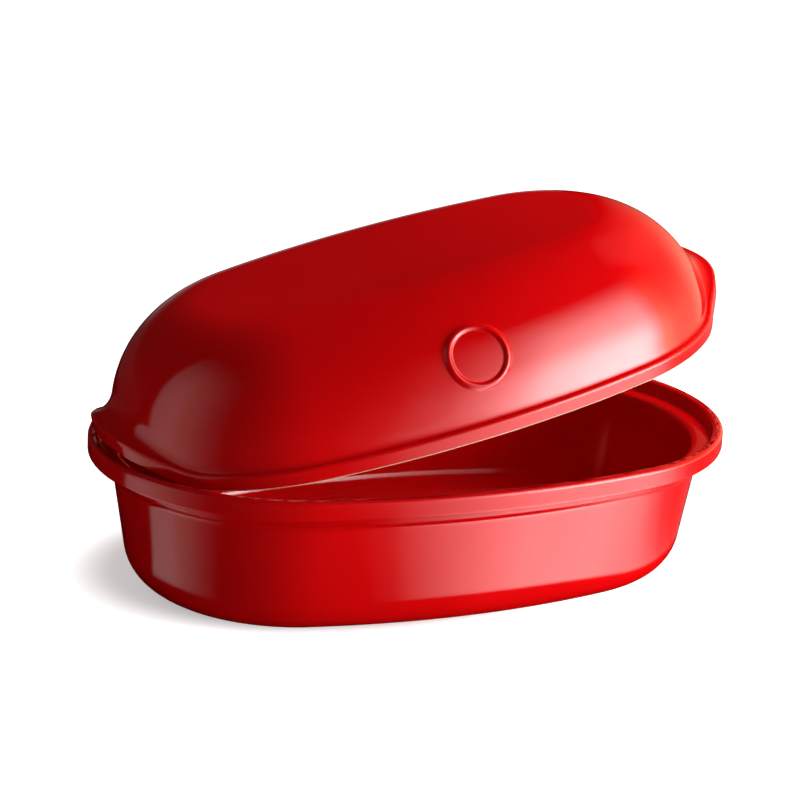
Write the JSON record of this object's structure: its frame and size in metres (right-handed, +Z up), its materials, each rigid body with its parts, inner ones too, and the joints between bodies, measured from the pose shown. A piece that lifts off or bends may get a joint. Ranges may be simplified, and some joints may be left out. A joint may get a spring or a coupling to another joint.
{
  "type": "bread cloche",
  "caption": "Oval glazed ceramic bread cloche: a deep dish with a wide lip and inner ledge, and a domed lid with raised end grips that tips open on the ledge.",
  "frame": {"origin": "centre of the dish's foot, on the surface it stands on", "axes": "+X along the length towards the end where the lid is raised, +Y towards the back, +Z up"},
  "size_m": [0.34, 0.22, 0.1941],
  "materials": {
    "dish_glaze": "glossy red glaze, bare clay foot ring",
    "lid_glaze": "glossy red glaze, bare clay rim"
  },
  "bodies": {
    "dish": {"base": "dish_glaze"},
    "lid": {"lid": "lid_glaze"}
  },
  "joints": [
    {"name": "lid_tilt", "type": "hinge", "parent": "dish", "child": "lid", "pos_m": [-0.1584, 0, 0.089], "axis": [0, -1, 0], "range_deg": [-12, 20]}
  ]
}
